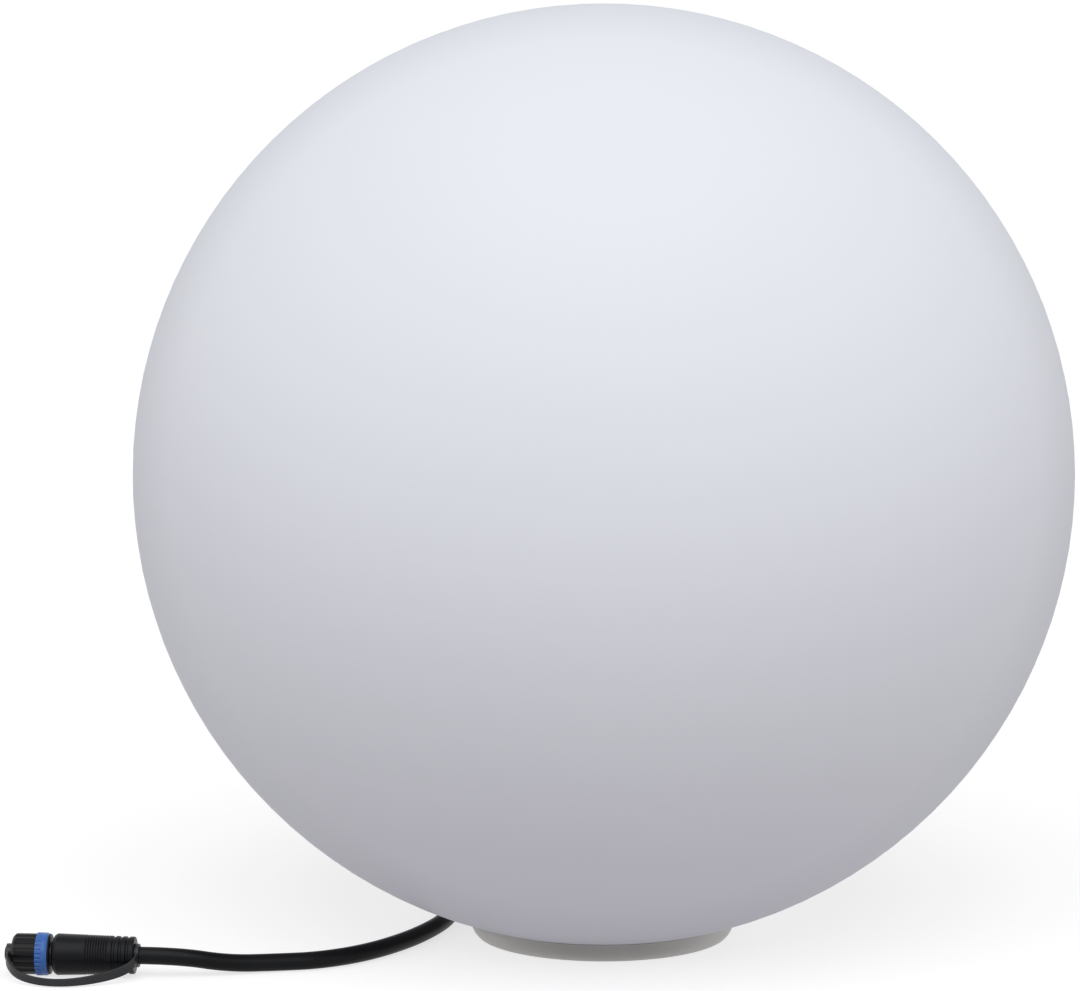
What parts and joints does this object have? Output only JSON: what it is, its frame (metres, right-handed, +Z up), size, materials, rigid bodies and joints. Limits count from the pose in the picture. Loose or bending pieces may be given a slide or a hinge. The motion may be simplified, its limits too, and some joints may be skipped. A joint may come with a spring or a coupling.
{
  "type": "garden globe light",
  "caption": "Opal globe lamp on a low silver-grey foot ring, with a short rubber lead that ends in a capped screw connector.",
  "frame": {"origin": "on the ground under the middle of the globe", "axes": "+Z up; -Y is the front, seen in the picture; +Y is the back, where the lead leaves the foot"},
  "size_m": [0.4481, 0.4, 0.4],
  "materials": {
    "opal_globe": "opal, fine satin",
    "satin_ring": "satin silver-grey",
    "housing_plastic": "moulded, fine texture",
    "seal_rubber": "smooth",
    "screw_steel": "plain",
    "insert_brass": "machined",
    "vent_plastic": "moulded",
    "cable_rubber": "satin rubber sheath",
    "core_sleeve": "smooth insulation",
    "driver_board": "solder mask",
    "ferrite": "varnished winding",
    "capacitor_can": "sleeved can",
    "sink_aluminium": "milled",
    "white_board": "white solder mask",
    "chip_phosphor": "phosphor under resin",
    "frosted_dome": "frosted",
    "dome_ring_plastic": "moulded",
    "connector_plastic": "fine texture",
    "nose_plastic": "smooth",
    "blue_plastic": "satin",
    "cap_plastic": "satin",
    "strap_rubber": "satin rubber"
  },
  "bodies": {
    "root": {"base_ring": "satin_ring", "base_body": "housing_plastic", "gland_body": "housing_plastic", "gland_nut": "housing_plastic", "gland_locknut": "housing_plastic", "input_terminal": "housing_plastic", "output_terminal": "housing_plastic", "globe_seal": "seal_rubber", "foot_pads": "seal_rubber", "gland_seal": "seal_rubber", "pod_gasket": "seal_rubber", "dome_seal": "seal_rubber", "nose_seal": "seal_rubber", "ring_screws": "screw_steel", "board_screws": "screw_steel", "led_board_screws": "screw_steel", "dome_ring_screws": "screw_steel", "fixing_inserts": "insert_brass", "contact_pins": "insert_brass", "pressure_vent": "vent_plastic", "supply_cable": "cable_rubber", "cable_tail": "cable_rubber", "supply_leads": "core_sleeve", "lamp_leads": "core_sleeve", "driver_board": "driver_board", "driver_inductor": "ferrite", "driver_capacitors": "capacitor_can", "heat_sink": "sink_aluminium", "led_board": "white_board", "led_chips": "chip_phosphor", "light_dome": "frosted_dome", "dome_ring": "dome_ring_plastic", "connector_body": "connector_plastic", "connector_nose": "nose_plastic", "cap_strap_ring": "strap_rubber", "cap_strap": "strap_rubber"},
    "globe": {"globe_shell": "opal_globe"},
    "coupling": {"coupling_ring": "blue_plastic", "coupling_collar": "connector_plastic"},
    "cap_eye": {"cap_strap_eye": "strap_rubber"},
    "cap": {"end_cap": "cap_plastic", "cap_seal": "seal_rubber"}
  },
  "joints": [
    {"name": "globe_turn", "type": "hinge", "parent": "root", "child": "globe", "pos_m": [0, 0, 0.0125], "axis": [0, 0, 1], "range_deg": [0, 35]},
    {"name": "coupling_spin", "type": "hinge", "parent": "root", "child": "coupling", "pos_m": [-0.23195, -0.07889, 0.00895], "axis": [-0.9986, 0.0523, 0], "continuous": true},
    {"name": "cap_travel", "type": "slide", "parent": "root", "child": "cap_eye", "axis": [-0.9986, 0.0523, 0], "range_m": [0, 0.005], "deforming": ["cap_strap"]},
    {"name": "cap_turn", "type": "hinge", "parent": "cap_eye", "child": "cap", "pos_m": [-0.23993, -0.07847, 0.00895], "axis": [-0.9986, 0.0523, 0], "range_deg": [0, 900]}
  ],
  "couplings": [
    {"joint": "cap_travel", "follows": "cap_turn", "m_per_rad": 0.000318}
  ]
}
